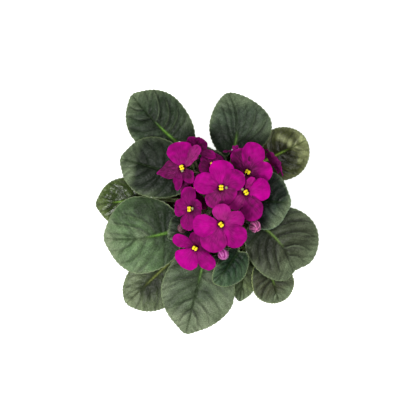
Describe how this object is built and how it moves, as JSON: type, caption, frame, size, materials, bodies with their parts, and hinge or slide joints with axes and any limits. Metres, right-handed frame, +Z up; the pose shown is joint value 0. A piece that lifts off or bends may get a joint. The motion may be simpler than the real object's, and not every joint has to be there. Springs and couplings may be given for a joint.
{
  "type": "potted african violet",
  "caption": "Small flowering house plant in a round tapered pot: a rosette of heart-shaped scalloped leaves under branching stalks of five-petalled purple flowers.",
  "frame": {"origin": "centre of the pot's underside, on the surface it stands on", "axes": "+Z up along the pot's axis, +Y towards the back of the plant, +X to its right"},
  "size_m": [0.1805, 0.1959, 0.1517],
  "materials": {
    "pot_plastic": "matte",
    "soil": "matte",
    "crown": "matte",
    "leaf": "satin",
    "stalk": "matte",
    "petal": "matte",
    "bud": "matte",
    "anther": "matte"
  },
  "bodies": {
    "root": {"pot": "pot_plastic", "soil": "soil", "crown": "crown", "leaf_inner_east": "leaf", "leaf_inner_north": "leaf", "leaf_inner_south": "leaf", "leaf_inner_west": "leaf", "leaf_middle_east": "leaf", "leaf_middle_north": "leaf", "leaf_middle_northwest": "leaf", "leaf_middle_west": "leaf", "leaf_outer_northeast": "leaf", "leaf_outer_south": "leaf", "leaf_outer_southeast": "leaf", "leaf_outer_southwest": "leaf", "leaf_outer_west": "leaf", "leaf_upper_northwest": "leaf", "leaf_upper_south": "leaf", "stalk_back_left": "stalk", "stalk_centre": "stalk", "stalk_front": "stalk", "stalk_left": "stalk", "stalk_right": "stalk", "bloom_back_left_anthers": "anther", "bloom_back_left_corolla": "petal", "bloom_back_right_anthers": "anther", "bloom_back_right_corolla": "petal", "bloom_centre_anthers": "anther", "bloom_centre_corolla": "petal", "bloom_front_anthers": "anther", "bloom_front_corolla": "petal", "bloom_front_left_anthers": "anther", "bloom_front_left_corolla": "petal", "bloom_left_anthers": "anther", "bloom_left_corolla": "petal", "bloom_low_back_anthers": "anther", "bloom_low_back_corolla": "petal", "bloom_low_centre_anthers": "anther", "bloom_low_centre_corolla": "petal", "bloom_low_left_anthers": "anther", "bloom_low_left_corolla": "petal", "bloom_low_north_anthers": "anther", "bloom_low_north_corolla": "petal", "bloom_low_right_anthers": "anther", "bloom_low_right_corolla": "petal", "bloom_right_anthers": "anther", "bloom_right_corolla": "petal", "bud_front": "bud", "bud_left": "bud", "bud_right": "bud"}
  },
  "joints": []
}
